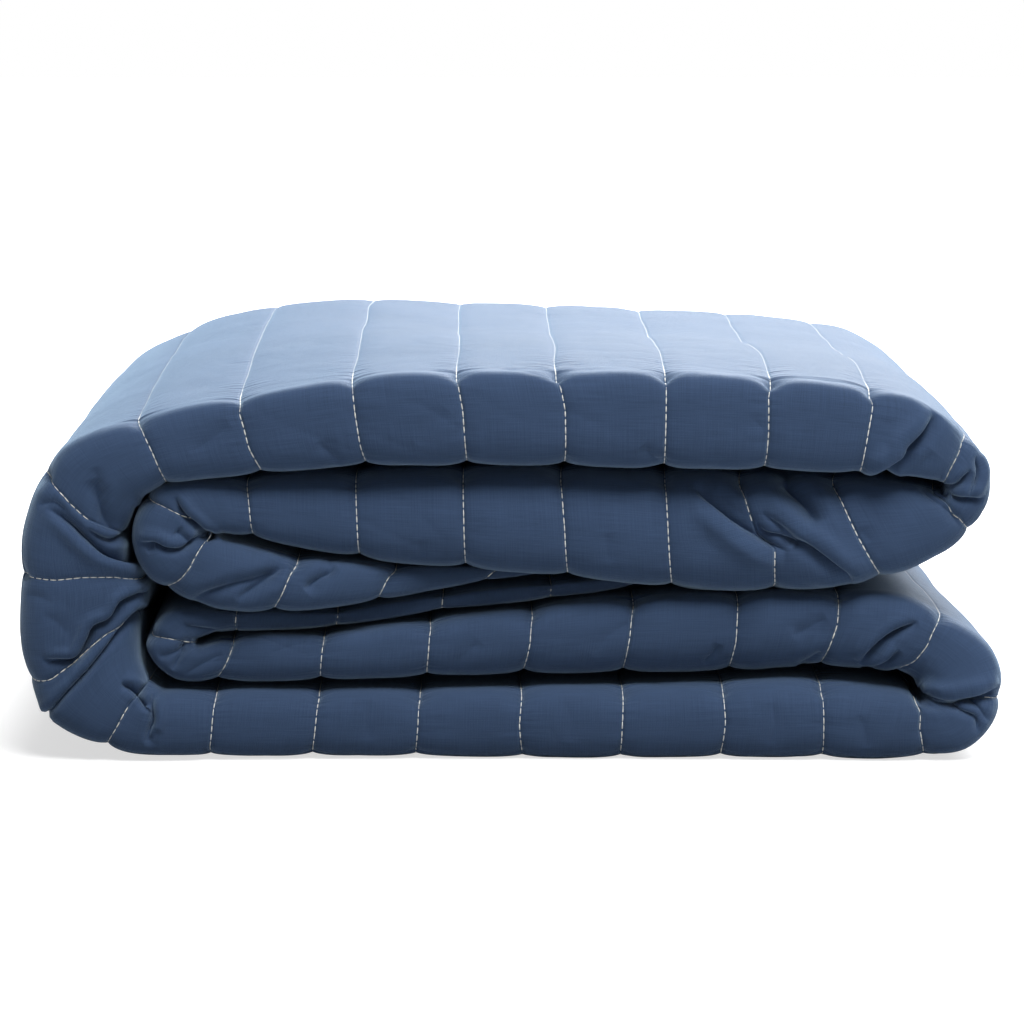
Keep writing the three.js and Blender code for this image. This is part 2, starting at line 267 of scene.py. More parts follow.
CREASES = (
    # The wide left bend: a deep fold under its first row of quilting, and folds towards its inner side.
    Crease("wide left bend",
           ((-180, 97), (-192, 100.7), (-204, 105.5), (-213.5, 113), (-223, 122), (-233, 129)),
           depth=6.6, width=2.2, lip=1.5, reach=45, starts_deep=True),
    Crease("wide left bend", ((-238, 130), (-229, 132), (-221, 126)), depth=1.6, width=2.2, lip=0.5),
    Crease("wide left bend",
           ((-209, 144), (-205.8, 132.2), (-202.6, 122.7), (-199.5, 116.5)),
           depth=4.2, width=3.4),
    Crease("wide left bend",
           ((-212, 119), (-206, 115), (-199.5, 112.8), (-193, 115.5), (-188, 127)),
           depth=4.6, width=1.9, lip=0.9, ends_deep=True),
    Crease("wide left bend",
           ((-236, 51.6), (-227.9, 52.2), (-219.5, 53.2), (-214.2, 60.6), (-210, 69), (-201.6, 73.2),
            (-196, 81.5), (-187, 85)),
           depth=6.2, width=1.7, lip=1.6, ends_deep=True),
    Crease("wide left bend",
           ((-236, 22), (-223.5, 36), (-213, 47), (-203, 58.5), (-194, 70), (-187, 76)),
           depth=4.2, width=1.5, lip=0.9, reach=40, starts_deep=True, ends_deep=True),
    Crease("wide left bend",
           ((-196, 40), (-191, 38.5), (-187, 35), (-183.5, 30)),
           depth=4.6, width=1.5, lip=0.9, ends_deep=True),
    Crease("wide left bend", ((-208, 150), (-206, 141), (-203, 133)), depth=1.2, width=3.0),
    Crease("wide left bend", ((-236, 75), (-228, 71), (-222, 64)), depth=0.9, width=3.0),
    Crease("wide left bend", ((-244, 84), (-238, 83.5), (-229, 80)), depth=1.0, width=3.0),
    # The bottom run: upright dents.
    Crease("bottom run",
           ((-180, 34.3), (-179.6, 27), (-179.4, 21), (-181.8, 14), (-182.5, 10)),
           depth=4.6, width=1.7, lip=0.9),
    Crease("bottom run", ((-184, 9), (-181, 11), (-176.5, 17)), depth=1.8, width=1.8),
    Crease("bottom run", ((176, 24), (178.5, 16), (180, 7)), depth=1.1, width=4.0),
    Crease("bottom run", ((-70, 30), (-72, 20), (-71, 10)), depth=0.9, width=5.0),
    Crease("bottom run", ((28, 31), (31, 20), (30, 9)), depth=0.9, width=5.0),
    Crease("bottom run", ((132, 30), (134, 19), (131, 8)), depth=0.9, width=5.0),
    # The second run and its left bend: a curled pinch, and slanting folds on the upper tuck.
    Crease("upper left bend",
           ((-187, 110.5), (-178.5, 112), (-172, 109.5), (-164.7, 110), (-160.5, 113.2), (-150, 115.2)),
           depth=4.6, width=1.8, lip=1.8),
    Crease("upper left bend", ((-183, 107.5), (-178.5, 109.5)), depth=1.6, width=2.0),
    Crease("upper left bend", ((-168, 117.5), (-165.8, 115.9), (-162, 113.5)), depth=3.0, width=2.4),
    Crease("upper left bend",
           ((-168, 135), (-163, 126.5), (-157, 120.9), (-151, 115.5)),
           depth=4.8, width=1.6, lip=1.2, ends_deep=True),
    Crease("upper tuck",
           ((-161, 80.7), (-150, 86), (-139.7, 90), (-126.5, 94), (-113, 102)),
           depth=4.6, width=3.0),
    Crease("upper tuck", ((-137, 82), (-126.3, 90), (-114, 100.7)), depth=5.0, width=2.8),
    Crease("upper tuck", ((-103, 87), (-96, 93), (-87.5, 99.4)), depth=4.6, width=3.0),
    Crease("second run",
           ((140, 106.5), (129.5, 109.5), (121.7, 114.4), (112.8, 121.2), (104.9, 128), (93, 138)),
           depth=7.5, width=3.8, lip=2.6),
    Crease("second run", ((104, 137), (114, 129), (126, 121), (136, 118)), depth=3.0, width=6.5),
    Crease("second run",
           ((124, 121), (129, 117), (137, 115), (144.5, 110.5), (143, 107)),
           depth=3.4, width=2.2, lip=1.4),
    Crease("second run",
           ((126, 127), (136, 121), (146.3, 113.5), (155.8, 106.6), (165.3, 98.7), (170.8, 93.2),
            (173.5, 87)),
           depth=6.0, width=3.0, lip=2.4),
    Crease("second run",
           ((140, 141), (149.5, 131), (155.5, 120)),
           depth=8.0, width=4.0, starts_deep=True),
    Crease("second run", ((176, 118), (182, 111)), depth=1.0, width=4.0),
    Crease("second run", ((-46, 112), (-44, 103)), depth=0.8, width=4.5),
    Crease("second run", ((48, 116), (50, 100)), depth=0.8, width=5.0),
    # The upper right bend: a lip over the front of the top run, and cloth crushed at the pinch.
    Crease("top run",
           ((179, 141), (185, 146.9), (191.4, 151.7), (196.5, 155.6), (198.5, 160.3), (202.4, 164.3),
            (207.2, 169), (213, 177)),
           depth=8.0, width=3.0, lip=3.0, reach=40),
    Crease("top run", ((196, 145), (205, 150), (212, 158)), depth=2.0, width=5.0),
    Crease("upper right bend",
           ((216, 141), (223.5, 140.8), (228, 144.5), (231.5, 148)),
           depth=3.8, width=1.7, lip=0.8),
    Crease("upper right bend",
           ((214, 140), (225.3, 134.8), (231.5, 134.2), (238.5, 133)),
           depth=4.2, width=2.0, lip=1.5),
    Crease("upper right bend",
           ((234, 155), (236, 149), (234.5, 142), (230.5, 136.5)),
           depth=3.6, width=1.7, lip=1.2),
    Crease("upper right bend",
           ((206, 138), (213.4, 132.7), (222, 124.8), (227, 118)),
           depth=2.2, width=2.2),
    Crease("top run", ((66, 161), (71, 155), (78, 150)), depth=1.8, width=3.6),
    Crease("top run", ((-96, 163), (-89, 156), (-84, 151)), depth=1.4, width=3.4),
    Crease("top run", ((120, 176), (127, 168), (129, 158)), depth=0.9, width=4.5),
    Crease("top run", ((-32, 180), (-40, 170), (-46, 162)), depth=0.7, width=5.0),
    Crease("top run", ((-140, 172), (-150, 164), (-160, 157)), depth=1.0, width=4.5),
    # The third run: a leaf-shaped fold at its right, and slanting dents.
    Crease("third run",
           ((178, 48), (181, 53.5), (187.9, 61.4), (196.8, 67.4), (206, 70.6)),
           depth=6.2, width=1.9, lip=1.5),
    Crease("third run", ((178, 44.5), (189.9, 48.5), (197, 55.5)), depth=4.6, width=1.7, lip=1.2),
    Crease("third run", ((146, 44.5), (152, 48), (158, 54)), depth=2.6, width=2.4),
    Crease("third run", ((143, 62), (152, 67), (160, 72)), depth=2.0, width=4.0),
    Crease("third run", ((98, 47), (103, 52), (106, 58)), depth=2.0, width=2.4),
    Crease("third run", ((-145, 54), (-155.3, 48.6), (-165, 42)), depth=1.6, width=2.6),
    Crease("third run", ((-122, 54), (-110, 58), (-100, 60.5)), depth=0.9, width=3.0),
    Crease("third run", ((-15, 60), (-24, 52), (-30, 46)), depth=0.9, width=4.0),
    Crease("third run", ((62, 70), (50, 62), (42, 52)), depth=0.9, width=4.5),
    # The lower right bend: cloth crushed under the pinch.
    Crease("lower right bend",
           ((221, 32.5), (227.5, 26.8), (235.4, 22.8), (236.6, 14)),
           depth=3.4, width=1.6, lip=0.9),
    Crease("lower right bend",
           ((230, 34.5), (237.4, 26.8), (241.8, 20)),
           depth=2.6, width=1.5, lip=0.6),
    Crease("lower right bend",
           ((209, 33), (215, 31.5), (222.5, 31.5), (233, 33.5), (248, 37)),
           depth=7.0, width=2.4, lip=3.0, reach=60, starts_deep=True),
    # The lower left bend: folds that fan out from the pinch.
    Crease("lower left bend",
           ((-163, 58.6), (-156, 59), (-146.6, 62.7), (-138, 65.5)),
           depth=1.6, width=2.0, starts_deep=True),
    Crease("lower left bend",
           ((-163, 58.5), (-168.3, 55), (-178, 51.6)),
           depth=2.2, width=1.9, starts_deep=True),
    Crease("lower left bend",
           ((-163.5, 58), (-167.2, 52), (-171, 45.5)),
           depth=2.6, width=1.8, starts_deep=True),
    Crease("lower tuck",
           ((-180, 72), (-168.3, 69.2), (-157.5, 67), (-145, 64.5)),
           depth=2.2, width=2.0, lip=0.6),
)


@dataclass(frozen=True)
class Wander:
    """How a row of quilting strays along the strip as it crosses the front edge.

    Each stray is (share of the way from the face side to the other, millimetres further along the strip).
    tucked is the stretch of the way, if any, that a fold hides.
    """

    row: int
    strays: tuple[tuple[float, float], ...]
    tucked: tuple[float, float] = (0.0, 0.0)


WANDERS = (
    Wander(0, ((0.0, -6), (1.0, 0))),
    Wander(1, ((0.0, -10), (1.0, -2))),
    Wander(2, ((0.0, -15), (1.0, -3))),
    Wander(3, ((0.0, 0), (0.25, -5), (0.5, -7.5), (0.75, -6), (1.0, -3))),
    Wander(4, ((0.0, 0), (0.4, -4), (1.0, -6))),
    Wander(5, ((0.0, -5), (1.0, -10))),
    Wander(6, ((0.0, -2.3), (1.0, -3.8))),
    Wander(7, ((0.0, -2.6), (1.0, -3.6))),
    Wander(8, ((0.0, -2.8), (0.5, -4), (1.0, -6))),
    Wander(9, ((0.0, -2), (1.0, -4.5))),
    Wander(10, ((0.0, -2), (0.38, -3), (0.5, -11), (1.0, -20)), tucked=(0.39, 0.51)),
    Wander(11, ((0.0, 0), (0.5, -14), (1.0, -26))),
    Wander(12, ((0.0, 0), (0.35, -3), (0.7, -14), (1.0, -30)), tucked=(0.8, 1.0)),
    Wander(14, ((0.0, -0.5), (0.2, -1), (0.5, 1.5), (1.0, 5))),
    Wander(15, ((0.0, -1.5), (0.2, 0.2), (0.6, 0.2), (1.0, 1.5))),
    Wander(16, ((0.0, -3), (1.0, -2))),
    Wander(17, ((0.0, -1.3), (0.4, -4.8), (1.0, -5.3))),
    Wander(18, ((0.0, -2.3), (0.4, -5.8), (1.0, -7.8))),
    Wander(19, ((0.0, -2), (0.4, -4), (0.75, -6.5), (1.0, -9.2))),
    Wander(20, ((0.0, 0.7), (0.2, 0.9), (0.35, -0.8), (0.65, -3.8), (1.0, -11.3))),
    Wander(21, ((0.0, 2.5), (0.2, 2.5), (0.5, 2), (1.0, 2.5))),
    Wander(22, ((0.0, -1), (0.3, 4), (0.6, 12), (1.0, 14)), tucked=(0.66, 1.0)),
    Wander(23, ((0.0, 0), (0.3, 1.4), (0.55, -0.6), (0.8, -1.2), (1.0, 2))),
    Wander(24, ((0.0, -2), (0.2, 0), (0.43, -5), (0.57, -11), (0.72, -18), (0.85, -23), (1.0, -27))),
    Wander(25, ((0.0, 0), (0.4, -4), (0.7, -9), (1.0, -10)), tucked=(0.7, 1.0)),
    Wander(26, ((0.0, -3.7), (0.4, -1), (1.0, 2))),
    Wander(27, ((0.0, -2.8), (0.5, -0.8), (1.0, 0.7))),
    Wander(28, ((0.0, -2.3), (0.5, -0.8), (1.0, -0.3))),
    Wander(29, ((0.0, 0), (0.5, -1.2), (1.0, 0.3))),
    Wander(30, ((0.0, -1.8), (1.0, -0.3))),
    Wander(31, ((0.0, -1.8), (0.5, 0.4), (1.0, -0.8))),
    Wander(32, ((0.0, 0), (0.5, 0), (1.0, -0.5))),
    Wander(33, ((0.0, -1.5), (0.5, 1), (1.0, 12))),
    Wander(34, ((0.0, 0), (0.3, 1.5), (1.0, 3)), tucked=(0.3, 1.0)),
    Wander(35, ((0.0, 6), (0.5, 13), (0.8, 24), (1.0, 34))),
    Wander(36, ((0.0, 0), (0.4, 1), (1.0, 8))),
    Wander(37, ((0.0, -4), (0.6, -3), (1.0, 0))),
    Wander(38, ((0.0, -2.6), (0.5, -1), (1.0, 2))),
    Wander(39, ((0.0, -2.8), (0.5, -1.8), (1.0, 1))),
    Wander(40, ((0.0, -3.5), (1.0, -1.5))),
    Wander(41, ((0.0, 0), (1.0, 2))),
    Wander(42, ((0.0, -1.5), (0.3, -1), (1.0, 5))),
)


def through(points: np.ndarray, spans: np.ndarray, samples: int) -> np.ndarray:
    """Run one smooth line through points (Catmull-Rom, with uneven spans).

    Args:
        points: one row for each point, any number of columns.
        spans: the parameter at each point, rising.
        samples: how many points to return.

    Returns:
        The line's points, evenly spaced in the parameter.
    """
    slopes = np.gradient(points, spans, axis=0)
    at = np.linspace(spans[0], spans[-1], samples)
    left = np.clip(np.searchsorted(spans, at, side="right") - 1, 0, len(spans) - 2)
    width = (spans[left + 1] - spans[left])[:, None]
    t = (at[:, None] - spans[left][:, None]) / width
    start = (1 + 2 * t) * (1 - t) ** 2 * points[left] + t * (1 - t) ** 2 * width * slopes[left]
    return start + t * t * (3 - 2 * t) * points[left + 1] + t * t * (t - 1) * width * slopes[left + 1]


@dataclass
class Strip:
    """The folded strip's fold lines, measured along their length."""

    pitch: float = 53 * MM
    first_row: float = 44 * MM
    samples: int = 6000
    length: np.ndarray = field(init=False)
    values: np.ndarray = field(init=False)
    starts: dict[str, float] = field(init=False)

    def __post_init__(self) -> None:
        """Run the smooth lines through the table's sections and measure them."""
        sections = np.array([s for fold in FOLDS for s in fold.sections()], float)
        sections[:, :5] *= MM
        steps = np.linalg.norm(np.diff(sections[:, :4], axis=0), axis=1) ** 0.5
        spans = np.concatenate(([0.0], np.cumsum(steps)))
        line = through(sections, spans, self.samples)
        face = np.linalg.norm(np.diff(line[:, 0:2], axis=0), axis=1)
        back = np.linalg.norm(np.diff(line[:, 2:4], axis=0), axis=1)
        self.length = np.concatenate(([0.0], np.cumsum(np.maximum(face, back))))
        self.values = line
        first = np.cumsum([0] + [len(fold.rows) for fold in FOLDS])[:-1]
        at = np.linspace(spans[0], spans[-1], self.samples)
        self.starts = {f.name: float(np.interp(spans[i], at, self.length)) for f, i in zip(FOLDS, first)}

    def at(self, lengths: np.ndarray) -> np.ndarray:
        """Give the section at each length, in the columns that Fold.sections lists."""
        return np.stack([np.interp(lengths, self.length, column) for column in self.values.T], axis=-1)

    def quilting_rows(self) -> np.ndarray:
        """Give the length at which each row of quilting crosses the strip."""
        even = np.arange(len(ROW_STRAY)) * self.pitch
        return even + self.first_row + np.array(ROW_STRAY, float) * MM

    def span(self, name: str) -> tuple[float, float]:
        """Find where a fold lies along the strip.

        Args:
            name: the fold's name.

        Returns:
            The lengths at which it starts and ends.
        """
        names = [fold.name for fold in FOLDS]
        after = names[names.index(name) + 1:]
        return self.starts[name], self.starts[after[0]] if after else float(self.length[-1])


def graded(count: int, first: float, last: float) -> np.ndarray:
    """Give shares from 0 to 1 whose steps grow evenly from first to last, in any unit."""
    steps = np.geomspace(first, last, count)
    return np.concatenate(([0.0], np.cumsum(steps) / steps.sum()))


def cloth_noise(along: np.ndarray, across: np.ndarray, size: tuple[float, float], seed: int) -> np.ndarray:
    """Make smooth uneven cloth: random heights from -1 to 1 on a lattice, joined by a smooth surface.

    Args:
        along: place along the strip.
        across: place round the section, of the same shape.
        size: the lattice's spacing each way.
        seed: number of the random draw.

    Returns:
        The heights, of the same shape.
    """
    x = (along - along.min()) / size[0]
    y = (across - across.min()) / size[1]
    heights = np.random.default_rng(seed).uniform(-1, 1, (int(x.max()) + 3, int(y.max()) + 3))
    i, j = x.astype(int), y.astype(int)
    a, b = x - i, y - j
    a, b = a * a * (3 - 2 * a), b * b * (3 - 2 * b)
    low = heights[i, j] * (1 - a) + heights[i + 1, j] * a
    high = heights[i, j + 1] * (1 - a) + heights[i + 1, j + 1] * a
    return low * (1 - b) + high * b


@dataclass
class Layers:
    """The outline of the strip's four layers, from its rounded front edge to the edges at the back.

    depth is how far the strip runs back, and slit how far the gaps between its layers run in from there.
    gap is the width of a gap as a share of the strip's thickness. step is how far the second layer's edge
    falls short of the first's. The three counts are of steps along the face side, the other side and the
    front edge.
    """

    depth: float = 540 * MM
    slit: float = 95 * MM
    gap: float = 0.035
    step: float = 9 * MM
    face_steps: int = 76
    reverse_steps: int = 28
    nose_steps: int = 44
    parts: dict[str, slice] = field(default_factory=dict)

    def nose(self, thick: np.ndarray, reach: np.ndarray, square: np.ndarray
             ) -> tuple[np.ndarray, np.ndarray]:
        """Round the front edge, as two quarter arcs of their own squareness.

        Args:
            thick: the strip's thickness at each station.
            reach: how far back the rounding goes.
            square: two columns, the squareness towards the face side and towards the other.

        Returns:
            Distance behind the front and height share, each with one row for a station.
        """
        turn = np.linspace(-1, 1, 161)[None, :] * (math.pi / 2)
        power = 2 / np.where(turn > 0, square[:, :1], square[:, 1:])
        height = 0.5 * np.sign(turn) * np.abs(np.sin(turn)) ** power
        behind = reach[:, None] * (1 - np.abs(np.cos(turn)) ** power)
        run = np.hypot(np.diff(behind, axis=1), np.diff(height * thick[:, None], axis=1))
        run = np.concatenate((np.zeros((len(run), 1)), np.cumsum(run, axis=1)), axis=1)
        even = np.linspace(0, 1, self.nose_steps + 1)
        index = np.arange(turn.size)
        picks = [np.interp(even * r[-1], r, index) for r in run]
        behind = np.stack([np.interp(p, index, b) for p, b in zip(picks, behind)])
        height = np.stack([np.interp(p, index, h) for p, h in zip(picks, height)])
        return behind, height

    def outline(self, thick: np.ndarray, reach: np.ndarray, square: np.ndarray
                ) -> tuple[np.ndarray, np.ndarray]:
        """Work out the whole outline at every station, and note which columns each part of it takes.

        It runs from the front along the face side to the back, in and out of the slits between the
        layers, round the fold at the back, forwards on the other side, and up round the front edge.

        Args:
            thick: the strip's thickness at each station.
            reach: how far back the front's rounding goes.
            square: the squareness of the front towards each side.

        Returns:
            Distance behind the front and height share, each with one row for a station.
        """
        stations = len(thick)
        columns: list[np.ndarray] = []
        heights: list[np.ndarray] = []

        def add(name: str, behind: np.ndarray, height: np.ndarray) -> None:
            """Append columns of the outline.

            Args:
                name: what the columns are called.
                behind: their distance behind the front.
                height: their height share.
            """
            shape = (stations, max(np.shape(behind)[-1], np.shape(height)[-1]))
            start = sum(column.shape[1] for column in columns)
            self.parts[name] = slice(start, start + shape[1])
            columns.append(np.broadcast_to(behind, shape).copy())
            heights.append(np.broadcast_to(height, shape).copy())

        thick = thick[:, None]
        front = reach[:, None]
        level = np.zeros((1, 1))
        layer = (0.5 - self.gap) / 2
        edge = layer / 2
        fold = 0.25 - self.gap / 4
        root = self.depth - self.slit
        tip = root - self.gap * thick / 2
        turn = np.linspace(0, math.pi, 8)[None, 1:-1]
        wide_turn = np.linspace(0, math.pi, 12)[None, 1:-1]
        inwards = graded(9, 1, 3)[None, :]
        outwards = 1 - inwards[:, ::-1]

        lip = self.depth - edge * thick
        add("face", front + (lip - front) * graded(self.face_steps, 1.6, 9.0)[None, 1:], level + 0.5)
        add("face edge", lip + edge * thick * np.sin(turn), 0.5 - edge * (1 - np.cos(turn)))
        add("face lining", lip + (root - lip) * inwards, level + 0.5 - layer)
        add("first slit", tip, level + 0.5 - layer - self.gap / 2)
        lip = lip - self.step
        top = 0.5 - layer - self.gap
        half = (top - self.gap / 2) / 2
        add("second face", root + (lip - root) * outwards, level + top)
        add("second edge", lip + edge * thick * np.sin(turn), top - half * (1 - np.cos(turn)))
        add("second lining", lip + (root - lip) * inwards, level + self.gap / 2)
        add("middle slit", tip, level)
        lip = self.depth - 0.8 * fold * thick
        add("back fold lining", root + (lip - root) * outwards, level - self.gap / 2)
        bulge = 0.8 * fold * thick * np.sin(wide_turn)
        add("back fold", lip + bulge, -self.gap / 2 - fold * (1 - np.cos(wide_turn)))
        forwards = graded(self.reverse_steps, 2.0, 40.0)[None, :0:-1]
        add("reverse", front + (lip - front) * forwards, level - 0.5)
        behind, height = self.nose(thick[:, 0], reach, square)
        add("nose", behind, height)
        return np.concatenate(columns, axis=1), np.concatenate(heights, axis=1)


@dataclass(frozen=True)
class Cotton:
    """Navy woven cotton: a plain weave with uneven yarns, a soft gloss and drawn-in seams.

    yarn is the spacing of the yarns, and slub how far thick and thin yarns change the colour. pucker and
    seam are heights along the rows of quilting, in millimetres.
    """

    colour: tuple[float, float, float] = (0.044, 0.075, 0.146)
    gloss: tuple[float, float, float] = (0.58, 0.79, 1.0)
    yarn: float = 0.42 * MM
    slub: float = 0.16
    pucker: float = 2.6
    seam: float = -0.45
    seam_width: float = 1.6 * MM
    weave_height: float = 0.09 * MM

    def material(self) -> bpy.types.Material:
        """Make the cloth's material, which follows the piece's own UV map in metres of cloth.

        Returns:
            The material.
        """
        made = bpy.data.materials.new("navy_cotton")
        made.use_nodes = True
        tree = made.node_tree
        shader = tree.nodes["Principled BSDF"]
        shader.inputs["Specular IOR Level"].default_value = 0.05
        shader.inputs["Sheen Weight"].default_value = 0.5
        shader.inputs["Sheen Roughness"].default_value = 0.42
        shader.inputs["Sheen Tint"].default_value = (*self.gloss, 1.0)
        cloth = tree.nodes.new("ShaderNodeUVMap")
        cloth.uv_map = "cloth"
        along = self.noise(tree, cloth, (45, 2600), 3.0)
        across = self.noise(tree, cloth, (2600, 45), 3.0)
        mottle = self.noise(tree, cloth, (14, 14), 4.0)
        streaks = self.maths(tree, "ADD", along.outputs["Fac"], across.outputs["Fac"])
        both = self.maths(tree, "MULTIPLY_ADD", mottle.outputs["Fac"], 0.5, streaks.outputs[0])
        tone = tree.nodes.new("ShaderNodeMapRange")
        tone.inputs["From Min"].default_value = 0.85
        tone.inputs["From Max"].default_value = 1.65
        tone.inputs["To Min"].default_value = 1 - self.slub
        tone.inputs["To Max"].default_value = 1 + self.slub
        tree.links.new(both.outputs[0], tone.inputs["Value"])
        tint = tree.nodes.new("ShaderNodeVectorMath")
        tint.operation = "SCALE"
        tint.inputs[0].default_value = self.colour
        tree.links.new(tone.outputs["Result"], tint.inputs["Scale"])
        tree.links.new(tint.outputs["Vector"], shader.inputs["Base Color"])
        rough = self.maths(tree, "MULTIPLY_ADD", streaks.outputs[0], 0.16, 0.50)
        tree.links.new(rough.outputs[0], shader.inputs["Roughness"])
        tree.links.new(self.relief(tree, cloth, streaks).outputs["Normal"], shader.inputs["Normal"])
        return made

    def relief(self, tree: bpy.types.NodeTree, cloth: bpy.types.Node, streaks: bpy.types.Node
               ) -> bpy.types.Node:
        """Make the fine relief: yarns and slubs, with puckers and a drawn-in line along each row.

        Args:
            tree: the material's nodes.
            cloth: the node that gives the place on the cloth.
            streaks: the node that gives the slubs.

        Returns:
            The last bump node.
        """
        reach = tree.nodes.new("ShaderNodeAttribute")
        reach.attribute_name = "row_reach"
        gather = tree.nodes.new("ShaderNodeAttribute")
        gather.attribute_name = "gather"
        folds = self.noise(tree, cloth, (34, 230), 1.0)
        puckers = self.maths(tree, "MULTIPLY", folds.outputs["Fac"], gather.outputs["Fac"])
        seam = tree.nodes.new("ShaderNodeMapRange")
        seam.interpolation_type = "SMOOTHSTEP"
        seam.inputs["From Max"].default_value = self.seam_width
        seam.inputs["To Min"].default_value = self.seam
        seam.inputs["To Max"].default_value = 0.0
        tree.links.new(reach.outputs["Fac"], seam.inputs["Value"])
        drawn = self.maths(tree, "MULTIPLY_ADD", puckers.outputs[0], self.pucker, seam.outputs["Result"])
        first = tree.nodes.new("ShaderNodeBump")
        first.inputs["Distance"].default_value = 1 * MM
        first.inputs["Strength"].default_value = 1.0
        tree.links.new(drawn.outputs[0], first.inputs["Height"])
        yarns = []
        for direction in ("X", "Y"):
            wave = tree.nodes.new("ShaderNodeTexWave")
            wave.bands_direction = direction
            wave.inputs["Scale"].default_value = math.pi / (10 * self.yarn)
            wave.inputs["Distortion"].default_value = 0.6
            wave.inputs["Detail"].default_value = 0.0
            tree.links.new(cloth.outputs["UV"], wave.inputs["Vector"])
            yarns.append(wave)
        woven = self.maths(tree, "MULTIPLY", *(wave.outputs["Fac"] for wave in yarns))
        woven = self.maths(tree, "MULTIPLY_ADD", streaks.outputs[0], 1.2, woven.outputs[0])
        second = tree.nodes.new("ShaderNodeBump")
        second.inputs["Distance"].default_value = self.weave_height
        second.inputs["Strength"].default_value = 0.8
        tree.links.new(woven.outputs[0], second.inputs["Height"])
        tree.links.new(first.outputs["Normal"], second.inputs["Normal"])
        return second

    def noise(self, tree: bpy.types.NodeTree, cloth: bpy.types.Node, scale: tuple[float, float],
              detail: float) -> bpy.types.Node:
        """Add a noise with its own scale each way.

        Args:
            tree: the material's nodes.
            cloth: the node that gives the place on the cloth.
            scale: cycles to the metre, along the strip and round its section.
            detail: how many finer noises are added to it.

        Returns:
            The noise node.
        """
        stretch = tree.nodes.new("ShaderNodeVectorMath")
        stretch.operation = "MULTIPLY"
        stretch.inputs[1].default_value = (*scale, 0.0)
        tree.links.new(cloth.outputs["UV"], stretch.inputs[0])
        made = tree.nodes.new("ShaderNodeTexNoise")
        made.noise_dimensions = "2D"
        made.inputs["Scale"].default_value = 1.0
        made.inputs["Detail"].default_value = detail
        tree.links.new(stretch.outputs["Vector"], made.inputs["Vector"])
        return made

    def maths(self, tree: bpy.types.NodeTree, operation: str, *values: bpy.types.NodeSocket | float
              ) -> bpy.types.Node:
        """Add a maths node.

        Args:
            tree: the material's nodes.
            operation: what it works out.
            values: its values, each a socket or a number.

        Returns:
            The node.
        """
        made = tree.nodes.new("ShaderNodeMath")
        made.operation = operation
        for socket, value in zip(made.inputs, values):
            if isinstance(value, float):
                socket.default_value = value
            else:
                tree.links.new(value, socket)
        return made


@dataclass(frozen=True)
class Thread:
    """Cream cotton sewing thread."""

    colour: tuple[float, float, float] = (0.86, 0.86, 0.79)

    def material(self) -> bpy.types.Material:
        """Make the thread's material.

        Returns:
            The material.
        """
        made = bpy.data.materials.new("cream_thread")
        made.use_nodes = True
        shader = made.node_tree.nodes["Principled BSDF"]
        shader.inputs["Base Color"].default_value = (*self.colour, 1.0)
        shader.inputs["Roughness"].default_value = 0.7
        shader.inputs["Specular IOR Level"].default_value = 0.3
        return made


